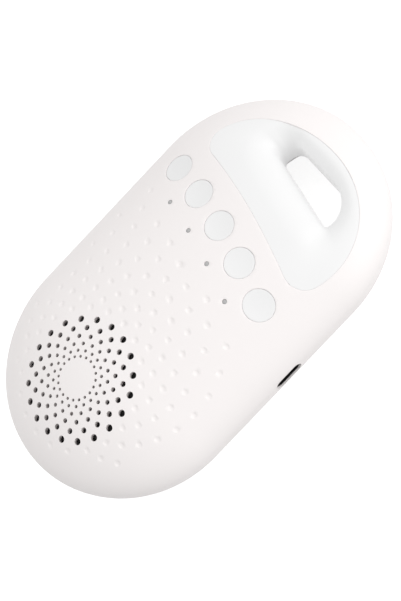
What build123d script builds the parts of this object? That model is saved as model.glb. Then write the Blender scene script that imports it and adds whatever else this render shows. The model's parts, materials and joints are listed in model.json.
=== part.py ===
from build123d import *
from math import atan, cos, degrees, hypot, radians, sin, sqrt
import os

# Portable white noise sound machine, lying on its back: +Z out of the front, +Y towards
# the handle slot, +X towards the charging port. The origin is on the surface that it
# lies on, under the middle of the body. All sizes are in millimetres.

# ---- body shell -------------------------------------------------------------------
half_width = 40.0  # radius of the round ends, and half the width between them
half_straight = 28.3  # middle of the body to the centre of each round end
dome_height = 16.0  # widest line up to the crown of the front
belly_depth = 12.0  # widest line down to the back face
back_round = 10.5  # rounding between the back face and the side
wall = 2.0  # moulded wall of both shells
rear_depth = 8.0  # back face up to the parting line
foot_proud = 0.6  # feet stand this far out of the back

# ---- lip that centres the shells --------------------------------------------------
lip_height = 1.5
lip_thickness = 0.9
lip_clearance = 0.15
lip_port_room = 1.0  # the lip stands back this far round the port

# ---- control band: buttons, indicators, lens and slot share a tilted frame --------
band_x = 0.0  # the middle button
band_setback = 8.3  # centre of the round end by the slot, back to the middle button
band_tilt = 15.0  # degrees that the band leans towards the charging port
band_bow = 165.0  # radius of the arcs that the rows follow

button_names = ["power", "volume_down", "sound", "volume_up", "light"]
button_pitch = 12.9
button_radius = 4.5
button_clearance = 0.1
button_recess = 0.25  # rim of a button below the dome
button_dish = 0.35  # hollow in the middle of its face
button_travel = 0.5
collar_wall = 1.3
collar_drop = 0.2  # collar below the lowest point of the shell around it
flange_overhang = 0.9
flange_thickness = 0.8
flange_gap = 0.05
stem_radius = 1.6
shortest_stem = 1.34  # on the button where the dome is lowest

indicator_pitch = 12.2
indicator_shift = 1.8  # the indicator row sits off the middle button
indicator_drop = 8.3  # middle of the button row to the indicator row
pipe_radius = 0.7
pipe_clearance = 0.03
pipe_recess = 0.1
pipe_foot_radius = 1.3
pipe_foot_height = 1.0
pipe_sleeve_wall = 0.8
pipe_sleeve_length = 3.0

# ---- night-light lens --------------------------------------------------------------
lens_half = 29.6
lens_bottom = 9.5  # above the middle button
lens_spring = 14.5  # where its curved top starts
lens_rise = 23.5
lens_corner = 5.5
lens_skin = 2.0
lens_clearance = 0.12
lens_flange = 1.5
lens_flange_thickness = 1.2
lens_seat_gap = 0.05

# ---- handle slot, a rounded quadrilateral in the band's frame ----------------------
slot_left = -13.2
slot_right = 14.2
slot_bottom = 24.4
slot_top_left = 30.8
slot_top_right = 34.8
slot_rounds = [1.9, 1.0, 8.0, 3.5]  # lower left, lower right, upper right, upper left
slot_wall = 1.8
slot_joint = 12.9  # back face up to the end of the lens sleeve
slot_throat = 5.0  # straight length of the throat
funnel_bands = 3  # steps of the roll round the mouth
funnel_corner_growth = 1.5  # each step's corners are this much rounder than the last's
front_reach_height = 9.9  # throat up to the top of the roll
front_reach_side = 33.0
front_reach_up = 10.0
front_reach_down = 9.5
back_flare = 5.2

# ---- sound holes -------------------------------------------------------------------
grille_from_end = 28.9  # end of the body to the middle of the holes
hole_rings = 6
holes_per_ring = 20
first_ring = 6.3
ring_step = 1.78
ring_step_growth = 0.24
first_hole = 0.45  # radius
hole_growth = 0.04
hole_growth_growth = 0.014

# ---- speaker -----------------------------------------------------------------------
speaker_radius = 20.5
speaker_seat_drop = 1.4  # lowest point of the shell over the speaker, down to the seat rib
gasket_width = 1.6
gasket_thickness = 0.6
flange_plate = 1.0
basket_depth = 8.6
basket_metal = 0.8
basket_base = 12.3
basket_top = 17.9
basket_bore = 6.0
basket_windows = 4
cone_radius = 14.8
cone_paper = 0.5
surround_skin = 0.3
surround_lip = 0.9
coil_radius = 4.2
coil_thickness = 0.25
coil_gap = 0.2
coil_length = 4.8
plate_thickness = 0.8
plate_radius = 10.5
magnet_radius = 10.5
magnet_bore = 5.8
magnet_height = 3.4
yoke_thickness = 1.2
yoke_inset = 0.5  # inside the magnet's rim
spider_skin = 0.3
spider_lift = 0.4
spider_rim = 1.0
spider_collar = 1.2
spider_folds = 3
spider_fold_pitch = 1.5
dust_cap_radius = 5.5
dust_cap_rise = 1.6
cloth_thickness = 0.3
cloth_gap = 0.05
speaker_screws = 3
speaker_screw_boss = 1.9
boss_gap = 0.1

# ---- screws ------------------------------------------------------------------------
screw_radius = 1.2
pilot_clearance = 0.05
head_radius = 2.3
head_height = 1.3
boss_radius = 2.8
small_screw_radius = 0.9
small_head_radius = 1.7
small_head_height = 0.9
small_boss_radius = 2.2
screw_bite = 4.5
small_screw_bite = 3.0
counterbore_clearance = 0.3
counterbore_floor = 2.4  # plastic left under a screw head
housing_screw_side_inset = 15.5  # from the sides of the body
housing_screw_grille_gap = 19.4  # past the middle of the sound holes
housing_screw_rim = [(9.5, 169.0), (6.0, 102.7)]  # in from the round end by the slot, and the turn

# ---- boards ------------------------------------------------------------------------
board_thickness = 1.2
board_left_gap = 6.0  # side of the body to the board
board_right_gap = 4.0
board_above_band = 10.0  # middle button to the board's upper edge
board_length = 42.0
board_corner = 3.0
boss_room = 0.7
switch_side = 6.0
switch_height = 3.0
switch_chamfer = 0.4
plunger_radius = 1.75
plunger_stand = 1.3
plunger_sunk = 0.8
plunger_clearance = 0.1
led_side = 1.6
led_height = 0.7
led_air = 0.3
chip_height = 1.0
chip_chamfer = 0.2
controller_side = 9.0
controller_place = (6.0, 9.0)  # from the middle line, and up from the board's lower edge
amplifier_side = 5.0
amplifier_place = (-14.0, 7.0)
board_screw_inset = 10.5  # from the sides of the body
board_screw_rise = 5.0
board_screw_upper_inset = 9.0
board_screw_upper_rise = 24.0
board_screw_middle = (-6.0, 3.0)

light_board_lift = 0.4  # light board above the main board's top
light_board_half = 27.5
light_board_rise = 21.5
light_board_bottom = 13.5
light_board_top = 29.5
light_board_corner = 3.0
light_board_room = 0.7
light_led_size = (3.5, 2.8, 0.8)
light_led_count = 6
light_led_pitch = 9.0
light_led_row = 16.5
light_led_arm = (20.3, 26.0)  # one on each arm of the board
light_post = (21.5, 20.5)  # one on each side of the slot

# ---- charging port -----------------------------------------------------------------
port_y = 2.8
port_width = 8.94
port_height = 3.26
port_metal = 0.3
port_depth = 7.3
port_sink = 0.8  # mouth behind the outer surface
port_room = 0.35
tongue_width = 6.7
tongue_thickness = 0.7
tongue_length = 4.6
tongue_edge = 0.15

# ---- battery and leads -------------------------------------------------------------
battery_size = (46.0, 32.0, 6.5)
battery_x = -5.0
battery_below_band = 11.0  # middle button down to the middle of the cell
battery_round = 2.0
pad_thickness = 0.6
pad_border = 4.0
fence_height = 3.0
fence_thickness = 1.2
fence_length = 8.0
fence_gap = 0.3
lead_radius = 0.8
lead_straight = 4.0  # straight out of a connector
lead_sideways = 3.0
connector_size = (6.0, 4.5, 2.4)
connector_gap = 0.3  # cell to a connector, seen from the front
battery_connector_x = -20.0
speaker_connector_x = 8.0

# ---- feet --------------------------------------------------------------------------
foot_radius = 4.2
foot_sunk = 0.8
foot_clearance = 0.1
foot_inset = 20.0  # from the sides of the body
foot_past_end = 13.7  # past the centre of the round end by the speaker
foot_upper = [(20.0, 15.7), (16.0, 1.7)]  # side inset, and past the centre of the end by the slot

# ---- heights and places worked out from the above ---------------------------------
back_z = foot_proud
floor_z = back_z + wall
waist_z = back_z + belly_depth
crown_z = waist_z + dome_height
part_z = back_z + rear_depth
sleeve_z = back_z + slot_joint
funnel_z = sleeve_z + slot_throat
over = 2.0  # cutters pass this far through what they cut

band_y = half_straight - band_setback
grille_y = grille_from_end - half_straight - half_width
board_left = board_left_gap - half_width
board_right = half_width - board_right_gap
board_high = band_y + board_above_band
board_low = board_high - board_length
battery_place = (battery_x, band_y - battery_below_band)
connector_y = battery_place[1] - battery_size[1] / 2 - connector_gap - connector_size[1] / 2
battery_connector_place = (battery_connector_x, connector_y)
speaker_connector_place = (speaker_connector_x, connector_y)

housing_screw_places = []
for side in (-1, 1):
    x = side * (half_width - housing_screw_side_inset)
    housing_screw_places.append((x, grille_y + housing_screw_grille_gap))
for inset, turn in housing_screw_rim:
    reach = half_width - inset
    housing_screw_places.append((reach * cos(radians(turn)), half_straight + reach * sin(radians(turn))))

board_screw_places = [
    (board_screw_inset - half_width, board_low + board_screw_rise),
    (half_width - board_screw_inset, board_low + board_screw_rise),
    (board_screw_upper_inset - half_width, board_low + board_screw_upper_rise),
    (board_screw_middle[0], board_low + board_screw_middle[1]),
]

foot_places = [(side * (half_width - foot_inset), -half_straight - foot_past_end) for side in (-1, 1)]
for side, (inset, past) in zip((-1, 1), foot_upper):
    foot_places.append((side * (half_width - inset), half_straight + past))

light_led_places = [(side * light_led_arm[0], light_led_arm[1]) for side in (-1, 1)]
for index in range(light_led_count):
    light_led_places.append(((index - (light_led_count - 1) / 2) * light_led_pitch, light_led_row))
light_post_places = [(side * light_post[0], light_post[1]) for side in (-1, 1)]


# ---- shared shapes -----------------------------------------------------------------
def disc(radius, low, high, x=0.0, y=0.0):
    return Pos(x, y, (low + high) / 2) * Cylinder(radius, high - low)


def ring(outer, inner, low, high, x=0.0, y=0.0):
    return disc(outer, low, high, x, y) - disc(inner, low - over, high + over, x, y)


def block(size_x, size_y, low, high, x=0.0, y=0.0):
    return Pos(x, y, (low + high) / 2) * Box(size_x, size_y, high - low)


def prism(face, low, high):
    return Pos(0, 0, low) * extrude(face, high - low)


def turned(edges):
    """Solid of revolution about Z from a closed outline drawn in radius and height."""
    return revolve(Plane.XZ * make_face(edges), Axis.Z)


def pebble(inset=0.0):
    """The whole body's outer form, drawn in by inset on every side."""
    radius = half_width - inset
    rise = dome_height - inset
    low = back_z + inset
    edge = max(back_round - inset, wall)
    outline = [
        Line((0, low), (radius - edge, low)),
        RadiusArc((radius - edge, low), (radius, low + edge), -edge),
        Line((radius, low + edge), (radius, waist_z)),
        EllipticalCenterArc((0, waist_z), radius, rise, arc_size=90),
        Line((0, waist_z + rise), (0, low)),
    ]
    section = make_face(outline)
    end = revolve(Plane.XZ * section, Axis.Z)
    middle = extrude(Plane.XZ * (section + mirror(section, Plane.YZ)), half_straight, both=True)
    return middle + Pos(0, half_straight, 0) * end + Pos(0, -half_straight, 0) * end


def from_spine(x, y):
    """Distance from the line between the centres of the round ends."""
    return hypot(x, max(abs(y) - half_straight, 0))


def dome_at(distance, inset=0.0):
    share = min(distance / (half_width - inset), 1)
    return waist_z + (dome_height - inset) * sqrt(1 - share**2)


def above(height):
    """Everything above a height, as a cutter."""
    tall = crown_z + over - height
    return Pos(0, 0, height + tall / 2) * Box(4 * half_width, 6 * half_width, tall)


def screw(radius, head, head_tall, length, head_under):
    """Pan-head screw pointing up from the underside of its head."""
    shaft = disc(radius, head_under + head_tall - over / 4, head_under + head_tall + length)
    cap = disc(head, head_under, head_under + head_tall)
    cap = fillet(cap.edges().group_by(Axis.Z)[0], head_tall / 3)
    return cap + shaft - disc(radius * 0.6, head_under - over, head_under + head_tall / 3)


# ---- control band ------------------------------------------------------------------
band_frame = Pos(band_x, band_y, 0) * Rot(0, 0, -band_tilt)


def bow(x):
    return -(x**2) / (2 * band_bow)


def on_band(x, y):
    """Body coordinates of a place given in the control band's own frame."""
    turn = radians(band_tilt)
    return (band_x + x * cos(turn) + y * sin(turn), band_y - x * sin(turn) + y * cos(turn))


def arch(half, bottom, spring, rise, corner):
    """Flat-bottomed arch: the form of the lens, the slot and the light board."""
    side = bottom + bow(half)
    outline = [
        EllipticalCenterArc((0, spring), half, rise, arc_size=180),
        Line((-half, spring), (-half, side)),
        ThreePointArc((-half, side), (0, bottom), (half, side)),
        Line((half, side), (half, spring)),
    ]
    face = make_face(outline)
    return fillet(face.vertices().sort_by(Axis.Y)[:2], min(corner, 0.8 * (spring - side)))


def lens_outline(grow):
    return arch(lens_half + grow, lens_bottom - grow, lens_spring, lens_rise + grow, lens_corner + grow)


def slot_form(side, down, up, rounder):
    """Slot outline with its ends, bottom and top moved outwards, and its corners made rounder."""
    slope = (slot_top_right - slot_top_left) / (slot_right - slot_left)
    lift = up * hypot(1, slope)
    corners = [
        (slot_left - side, slot_bottom - down),
        (slot_right + side, slot_bottom - down),
        (slot_right + side, slot_top_right + lift + side * slope),
        (slot_left - side, slot_top_left + lift - side * slope),
    ]
    face = make_face(Polyline(*corners, close=True))
    for corner, radius in zip(corners, slot_rounds):
        face = fillet(face.vertices().sort_by_distance((*corner, 0))[0], radius + rounder)
    return face


def slot_outline(grow):
    return slot_form(grow, grow, grow, grow)


def front_funnel(skin):
    """Throat and rolled front mouth of the handle slot, thickened outwards by skin."""
    start = funnel_z - skin
    sections = [Pos(0, 0, start) * slot_outline(skin)]
    for step in range(1, funnel_bands + 1):
        turn = radians(90 * step / funnel_bands)
        side = front_reach_side * sin(turn) + skin
        down = front_reach_down * (1 - cos(turn)) + skin
        up = front_reach_up * sin(turn) + skin
        wide = slot_form(side, down, up, skin + step * funnel_corner_growth)
        sections.append(Pos(0, 0, start + front_reach_height * sin(turn)) * wide)
    sections.append(Pos(0, 0, crown_z + over) * wide)
    throat = prism(slot_outline(skin), sleeve_z - over * (skin == 0), start)
    return band_frame * (throat + loft(sections, ruled=True))


def back_funnel(skin):
    wide = slot_outline(back_flare + skin)
    low = back_z - over * (skin == 0)
    return band_frame * loft([Pos(0, 0, low) * wide, Pos(0, 0, sleeve_z) * slot_outline(skin)], ruled=True)


button_places = []
for index in range(len(button_names)):
    across = (index - (len(button_names) - 1) / 2) * button_pitch
    button_places.append(on_band(across, bow(across)))

indicator_places = []
for index in range(len(button_names) - 1):
    across = (index - (len(button_names) - 2) / 2) * indicator_pitch + indicator_shift
    indicator_places.append(on_band(across, bow(across) - indicator_drop))


def collar_bottom(place):
    reach = button_radius + button_clearance + collar_wall
    return dome_at(from_spine(*place) + reach, wall) - collar_drop


# The lowest button sets the height of the boards, and the port hangs under the main board
lowest_flange = min(collar_bottom(place) for place in button_places) - flange_gap
plunger_top = lowest_flange - flange_thickness / 2 - shortest_stem
board_top = plunger_top - plunger_stand - switch_height
board_z = board_top - board_thickness
port_z = board_z - port_height / 2
light_board_z = board_top + light_board_lift
speaker_seat = dome_at(from_spine(0, abs(grille_y) + speaker_radius), wall) - speaker_seat_drop


# ---- shells ------------------------------------------------------------------------
def ring_radius(index):
    return first_ring + ring_step * index + ring_step_growth * index * (index - 1) / 2


def hole_radius(index):
    return first_hole + hole_growth * index + hole_growth_growth * index**2


def sound_holes():
    """Rings of holes about the speaker, each ring turned half a step from the last."""
    step = 360 / holes_per_ring
    holes = []
    for index in range(hole_rings):
        radius = ring_radius(index)
        low = dome_at(from_spine(0, abs(grille_y) + radius), wall) - over
        for count in range(holes_per_ring):
            angle = radians(step * (count + index % 2 / 2))
            x = radius * sin(angle)
            y = grille_y + radius * cos(angle)
            holes.append(disc(hole_radius(index), low, crown_z + over, x, y))
    return holes


def port_cutter(grow, start, end):
    face = Plane.YZ * SlotOverall(port_width + 2 * grow, port_height + 2 * grow)
    return Pos(start, port_y, port_z) * extrude(face, end - start)


def speaker_screw_spots():
    circle = speaker_radius + boss_gap + speaker_screw_boss
    spots = []
    for count in range(speaker_screws):
        angle = radians(90 + 360 / speaker_screws * count)
        spots.append((circle * cos(angle), grille_y + circle * sin(angle)))
    return spots


flange_low = speaker_seat - gasket_thickness - flange_plate


def make_front_housing():
    outer = pebble()
    cavity = pebble(wall)
    shell = (outer - cavity) & above(part_z)
    inside = []
    for place in button_places:
        collar = button_radius + button_clearance + collar_wall
        inside.append(disc(collar, collar_bottom(place), crown_z, *place))
    for place in indicator_places:
        sleeve_low = dome_at(from_spine(*place), wall) - pipe_sleeve_length
        inside.append(disc(pipe_radius + pipe_clearance + pipe_sleeve_wall, sleeve_low, crown_z, *place))
    for place in housing_screw_places:
        inside.append(disc(boss_radius, part_z + lip_height, crown_z, *place))
    for place in board_screw_places:
        inside.append(disc(small_boss_radius, board_top, crown_z, *place))
    for place in speaker_screw_spots():
        inside.append(disc(speaker_screw_boss, flange_low, crown_z, *place))
    inside.append(ring(speaker_radius, speaker_radius - gasket_width, speaker_seat, crown_z, 0, grille_y))
    shell = shell + [(piece & cavity) for piece in inside]

    cuts = sound_holes()
    for place in button_places:
        cuts.append(disc(button_radius + button_clearance, waist_z, crown_z + over, *place))
    for place in indicator_places:
        cuts.append(disc(pipe_radius + pipe_clearance, waist_z, crown_z + over, *place))
    pilot = screw_radius + pilot_clearance
    for place in housing_screw_places:
        cuts.append(disc(pilot, part_z, part_z + lip_height + screw_bite + over / 4, *place))
    small_pilot = small_screw_radius + pilot_clearance
    for place in board_screw_places:
        cuts.append(disc(small_pilot, board_top - over, board_top + small_screw_bite, *place))
    for place in speaker_screw_spots():
        cuts.append(disc(small_pilot, flange_low - over, flange_low + small_screw_bite, *place))
    cuts.append(port_cutter(port_room, half_width - port_depth, half_width + over))
    cuts.append(band_frame * prism(lens_outline(lens_clearance), waist_z, crown_z + over))
    return shell - cuts


def make_rear_housing():
    outer = pebble()
    cavity = pebble(wall)
    tray = (outer - cavity) - above(part_z)
    hollow = pebble(wall + lip_clearance + lip_thickness)
    lip = (pebble(wall + lip_clearance) - hollow) - above(part_z + lip_height)
    lip = lip + ((cavity - hollow) - above(part_z))
    lip = lip & above(part_z - lip_height)
    lip = lip - port_cutter(lip_port_room, half_width - port_depth - wall, half_width)
    inside = [back_funnel(slot_wall)]
    for place in housing_screw_places:
        inside.append(disc(boss_radius, floor_z - wall / 2, part_z + lip_height, *place))
    for place in light_post_places:
        x, y = on_band(*place)
        inside.append(disc(small_boss_radius, floor_z - wall / 2, light_board_z, x, y))
    for side in (-1, 1):
        x = battery_place[0] + side * (battery_size[0] / 2 + fence_gap + fence_thickness / 2)
        y = battery_place[1] + side * (battery_size[1] / 2 + fence_gap + fence_thickness / 2)
        high = floor_z + fence_height
        inside.append(block(fence_thickness, fence_length, floor_z - wall / 2, high, x, battery_place[1]))
        inside.append(block(fence_length, fence_thickness, floor_z - wall / 2, high, battery_place[0], y))
    tray = tray + lip + [(piece & outer) for piece in inside]

    cuts = [back_funnel(0)]
    for place in housing_screw_places:
        cuts.append(disc(screw_radius + pilot_clearance, back_z - over, part_z + lip_height + over, *place))
        deep = part_z + lip_height - counterbore_floor
        cuts.append(disc(head_radius + counterbore_clearance, back_z - over, deep, *place))
    for place in light_post_places:
        x, y = on_band(*place)
        low = light_board_z - small_screw_bite - over / 4
        cuts.append(disc(small_screw_radius + pilot_clearance, low, light_board_z + over, x, y))
    for place in foot_places:
        cuts.append(disc(foot_radius + foot_clearance, back_z - over, back_z + foot_sunk, *place))
    return tray - cuts


def make_lens():
    window = band_frame * prism(lens_outline(0), waist_z, crown_z + over)
    skin = (pebble() - pebble(lens_skin)) & window
    under = wall + lens_seat_gap
    rim = pebble(under) - pebble(under + lens_flange_thickness)
    rim = rim & (band_frame * prism(lens_outline(lens_flange), waist_z, crown_z))
    inside = band_frame * prism(lens_outline(0), sleeve_z, crown_z + over)
    funnel = front_funnel(lens_skin) & pebble() & inside
    return skin + rim + funnel - front_funnel(0)


# ---- buttons, switches and indicators ----------------------------------------------
def make_button(place):
    """Round key: dished face following the dome, retaining flange, and stem."""
    x, y = place
    key = disc(button_radius, waist_z, crown_z, x, y) & pebble(button_recess)
    flange_top = collar_bottom(place) - flange_gap
    key = key & above(flange_top - flange_thickness / 2)
    hollow_edge = button_radius * 0.85
    hollow_radius = (hollow_edge**2 + button_dish**2) / (2 * button_dish)
    off_spine = max(abs(y) - half_straight, 0)
    height = dome_at(from_spine(x, y), button_recess)
    normal = Vector(x / half_width**2, off_spine / half_width**2, (height - waist_z) / dome_height**2)
    centre = Vector(x, y, height) + normal.normalized() * (hollow_radius - button_dish)
    key = key - Pos(*centre) * Sphere(hollow_radius)
    flange = disc(button_radius + flange_overhang, flange_top - flange_thickness, flange_top, x, y)
    stem = disc(stem_radius, plunger_top, flange_top - flange_thickness / 2, x, y)
    return key + flange + stem


def make_plunger(place):
    return disc(plunger_radius, board_top + switch_height - plunger_sunk, plunger_top, *place)


def make_switch(place):
    body = block(switch_side, switch_side, board_top, board_top + switch_height, *place)
    body = chamfer(body.edges().group_by(Axis.Z)[-1], switch_chamfer)
    low = board_top + switch_height - plunger_sunk - button_travel - plunger_clearance
    return body - disc(plunger_radius + plunger_clearance, low, board_top + switch_height + over, *place)


def make_light_pipe(place):
    x, y = place
    sleeve_low = dome_at(from_spine(x, y), wall) - pipe_sleeve_length
    rod = disc(pipe_radius, sleeve_low - pipe_foot_height, crown_z, x, y) & pebble(pipe_recess)
    foot = disc(pipe_foot_radius, board_top + led_height + led_air, sleeve_low - pipe_clearance, x, y)
    return rod + foot


def make_indicator_led(place):
    return block(led_side, led_side, board_top, board_top + led_height, *place)


# ---- boards ------------------------------------------------------------------------
def make_main_board():
    wide = board_right - board_left
    tall = board_high - board_low
    centre = Pos((board_left + board_right) / 2, (board_low + board_high) / 2, 0)
    board = prism(centre * RectangleRounded(wide, tall, board_corner), board_z, board_top)
    for place in housing_screw_places:
        board -= disc(boss_radius + boss_room, board_z - over, board_top + over, *place)
    for place in light_post_places:
        board -= disc(small_boss_radius + boss_room, board_z - over, board_top + over, *on_band(*place))
    for place in board_screw_places:
        board -= disc(small_screw_radius + pilot_clearance, board_z - over, board_top + over, *place)
    return board & pebble(wall + boss_room)


def make_light_board():
    high = light_board_z + board_thickness
    outline = arch(light_board_half, light_board_bottom, lens_spring, light_board_rise, light_board_corner)
    board = prism(outline, light_board_z, high)
    middle = light_board_top + light_board_rise / 2
    board -= block(3 * light_board_half, light_board_rise, light_board_z - over, high + over, 0, middle)
    board -= prism(slot_outline(lens_skin + light_board_room), light_board_z - over, high + over)
    for place in light_post_places:
        board -= disc(small_screw_radius + pilot_clearance, light_board_z - over, high + over, *place)
    return band_frame * board


def make_light_led(place):
    size_x, size_y, height = light_led_size
    low = light_board_z + board_thickness
    return band_frame * block(size_x, size_y, low, low + height, *place)


def make_chip(side, place):
    chip = block(side, side, board_top, board_top + chip_height, *place)
    return chamfer(chip.edges().group_by(Axis.Z)[-1], chip_chamfer)


def make_connector(place):
    size_x, size_y, height = connector_size
    return block(size_x, size_y, board_z - height, board_z, *place)


# ---- charging port -----------------------------------------------------------------
port_mouth = half_width - port_sink
port_back = port_mouth - port_depth


def make_port_shell():
    shell = port_cutter(0, port_back, port_mouth)
    return shell - port_cutter(-port_metal, port_back + 4 * port_metal, port_mouth + over)


def make_port_tongue():
    start = port_back + 4 * port_metal
    tongue = Box(tongue_length, tongue_width, tongue_thickness)
    return Pos(start + tongue_length / 2, port_y, port_z) * fillet(tongue.edges().filter_by(Axis.X), tongue_edge)


# ---- speaker, turned about its own axis --------------------------------------------
flange_top = flange_low + flange_plate
basket_low = flange_top - basket_depth
plate_low = basket_low - plate_thickness
magnet_low = plate_low - magnet_height
pole_radius = coil_radius - coil_gap
coil_outer = coil_radius + coil_thickness
coil_low = plate_low - plate_thickness
coil_top = coil_low + coil_length
cone_neck = coil_top
speaker_at = Pos(0, grille_y, 0)


def make_speaker_frame():
    outline = Polyline(
        (speaker_radius, flange_top),
        (speaker_radius, flange_low),
        (basket_top, flange_low),
        (basket_base, basket_low),
        (basket_bore, basket_low),
        (basket_bore, basket_low + basket_metal),
        (basket_base - basket_metal, basket_low + basket_metal),
        (basket_top - basket_metal, flange_top),
        close=True,
    )
    frame = turned(outline)
    low = basket_low + 2 * basket_metal
    window = block(speaker_radius, basket_base, low, flange_low - basket_metal, speaker_radius, 0)
    for count in range(basket_windows):
        frame -= Rot(0, 0, 45 + 360 / basket_windows * count) * window
    return speaker_at * frame


def make_speaker_surround():
    inner = cone_radius
    outer = basket_top - basket_metal + surround_skin
    middle = (inner + outer) / 2
    radius = (outer - inner) / 2
    lip_end = outer + surround_lip
    outline = [
        ThreePointArc((inner, flange_top), (middle, flange_top + radius), (outer, flange_top)),
        Line((inner, flange_top), (inner + surround_skin, flange_top)),
        ThreePointArc(
            (inner + surround_skin, flange_top),
            (middle, flange_top + radius - surround_skin),
            (outer - surround_skin, flange_top),
        ),
        Line((outer - surround_skin, flange_top), (outer, flange_top)),
    ]
    lip = ring(lip_end, outer - surround_skin, flange_top, flange_top + surround_skin)
    return speaker_at * (turned(outline) + lip)


def make_speaker_cone():
    outline = Polyline(
        (coil_radius, cone_neck),
        (cone_radius, flange_top - cone_paper),
        (cone_radius, flange_top),
        (coil_radius, cone_neck + cone_paper),
        close=True,
    )
    return speaker_at * turned(outline)


def make_dust_cap():
    slope = (flange_top - cone_paper - cone_neck) / (cone_radius - coil_radius)
    base = cone_neck + cone_paper + slope * (dust_cap_radius - coil_radius)
    rim = dust_cap_radius
    top = base + dust_cap_rise
    sphere = (rim**2 + dust_cap_rise**2) / (2 * dust_cap_rise)
    dome = Pos(0, 0, top - sphere) * Sphere(sphere)
    inner = Pos(0, 0, top - sphere) * Sphere(sphere - surround_skin)
    return speaker_at * ((dome - inner) & disc(rim, base, top + over))


def make_speaker_spider():
    outer = basket_base - basket_metal - coil_gap
    low = basket_low + basket_metal
    high = low + spider_lift + spider_skin
    sheet = ring(outer, coil_outer, low + spider_lift, high)
    rim = ring(outer, outer - spider_rim, low, high)
    folds = []
    for count in range(spider_folds):
        radius = coil_outer + spider_collar + spider_fold_pitch * count
        folds.append(ring(radius + spider_fold_pitch / 3, radius, high - spider_skin / 2, high + spider_skin))
    return speaker_at * (sheet + rim + folds)


def make_yoke():
    base = disc(magnet_radius - yoke_inset, magnet_low - yoke_thickness, magnet_low)
    pole = disc(pole_radius, magnet_low - yoke_thickness / 2, basket_low)
    return speaker_at * (base + pole)


def make_gasket():
    inner = speaker_radius - gasket_width
    return speaker_at * ring(speaker_radius, inner, flange_top, speaker_seat)


def make_cloth():
    inset = wall + cloth_gap
    sheet = pebble(inset) - pebble(inset + cloth_thickness)
    return sheet & disc(speaker_radius - gasket_width - cloth_gap, waist_z, crown_z, 0, grille_y)


# ---- power and leads ---------------------------------------------------------------
pad_top = floor_z + pad_thickness


def make_battery():
    size_x, size_y, height = battery_size
    cell = block(size_x, size_y, pad_top, pad_top + height, *battery_place)
    return fillet(cell.edges().filter_by(Axis.Y), battery_round)


def make_battery_pad():
    size_x, size_y, _ = battery_size
    return block(size_x - 2 * pad_border, size_y - 2 * pad_border, floor_z, pad_top, *battery_place)


def make_lead(points):
    """Sleeved pair of wires along straight runs joined by arcs."""
    runs = [(Vector(*b) - Vector(*a)) for a, b in zip(points, points[1:])]
    radii = []
    for before, after in zip(runs, runs[1:]):
        shorter = min(before.length, after.length)
        turn = radians(before.get_angle(after))
        radii.append(0.45 * shorter * cos(turn / 2) / sin(turn / 2))
    print("lead bend radii", [round(radius, 2) for radius in radii])
    path = FilletPolyline(*points, radius=radii)
    start = Plane(origin=path @ 0, z_dir=path % 0)
    return sweep(start * Circle(lead_radius), path=path)


def battery_lead_points():
    x, y = battery_connector_place
    mouth = y - connector_size[1] / 2
    high = board_z - connector_size[2] / 2
    low = pad_top + battery_size[2] / 2
    cell_end = battery_place[1] - battery_size[1] / 2
    out = mouth - lead_straight
    return [(x, mouth, high), (x, out, high), (x, out, low), (x, cell_end, low)]


def speaker_lead_points():
    x, y = speaker_connector_place
    mouth = y - connector_size[1] / 2
    high = board_z - connector_size[2] / 2
    slope = (basket_top - basket_base) / (flange_low - basket_low)
    wall_radius = basket_base + slope * (high - basket_low)
    start = grille_y + sqrt(wall_radius**2 - x**2) + lead_radius / 2
    middle = (start + mouth) / 2
    return [
        (x, start, high),
        (x, start + lead_straight, high),
        (x + lead_sideways, middle, high),
        (x, mouth - lead_straight, high),
        (x, mouth, high),
    ]


# ---- write every piece -------------------------------------------------------------
def placed(shape, places):
    return Compound([(Pos(x, y, 0) * shape).solid() for x, y in places])


def each(maker, places):
    return Compound([maker(place).solid() for place in places])


nodes = {
    "front_housing": make_front_housing(),
    "rear_housing": make_rear_housing(),
    "light_diffuser": make_lens(),
    "indicator_light_pipes": each(make_light_pipe, indicator_places),
    "indicator_leds": each(make_indicator_led, indicator_places),
    "tact_switches": each(make_switch, button_places),
    "main_board": make_main_board(),
    "controller_chip": make_chip(controller_side, (controller_place[0], board_low + controller_place[1])),
    "amplifier_chip": make_chip(amplifier_side, (amplifier_place[0], board_low + amplifier_place[1])),
    "light_board": make_light_board(),
    "light_board_leds": each(make_light_led, light_led_places),
    "usb_c_shell": make_port_shell(),
    "usb_c_tongue": make_port_tongue(),
    "battery_cell": make_battery(),
    "battery_pad": make_battery_pad(),
    "battery_connector": make_connector(battery_connector_place),
    "battery_lead": make_lead(battery_lead_points()),
    "speaker_connector": make_connector(speaker_connector_place),
    "speaker_lead": make_lead(speaker_lead_points()),
    "speaker_frame": make_speaker_frame(),
    "speaker_top_plate": speaker_at * ring(plate_radius, coil_outer + coil_gap, plate_low, basket_low),
    "speaker_magnet": speaker_at * ring(magnet_radius, magnet_bore, magnet_low, plate_low),
    "speaker_yoke": make_yoke(),
    "voice_coil": speaker_at * ring(coil_outer, coil_radius, coil_low, coil_top),
    "speaker_cone": make_speaker_cone(),
    "speaker_dust_cap": make_dust_cap(),
    "speaker_surround": make_speaker_surround(),
    "speaker_spider": make_speaker_spider(),
    "speaker_gasket": make_gasket(),
    "grille_cloth": make_cloth(),
}

for name, place in zip(button_names, button_places):
    nodes[name + "_button"] = make_button(place)
    nodes[name + "_plunger"] = make_plunger(place)

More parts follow.
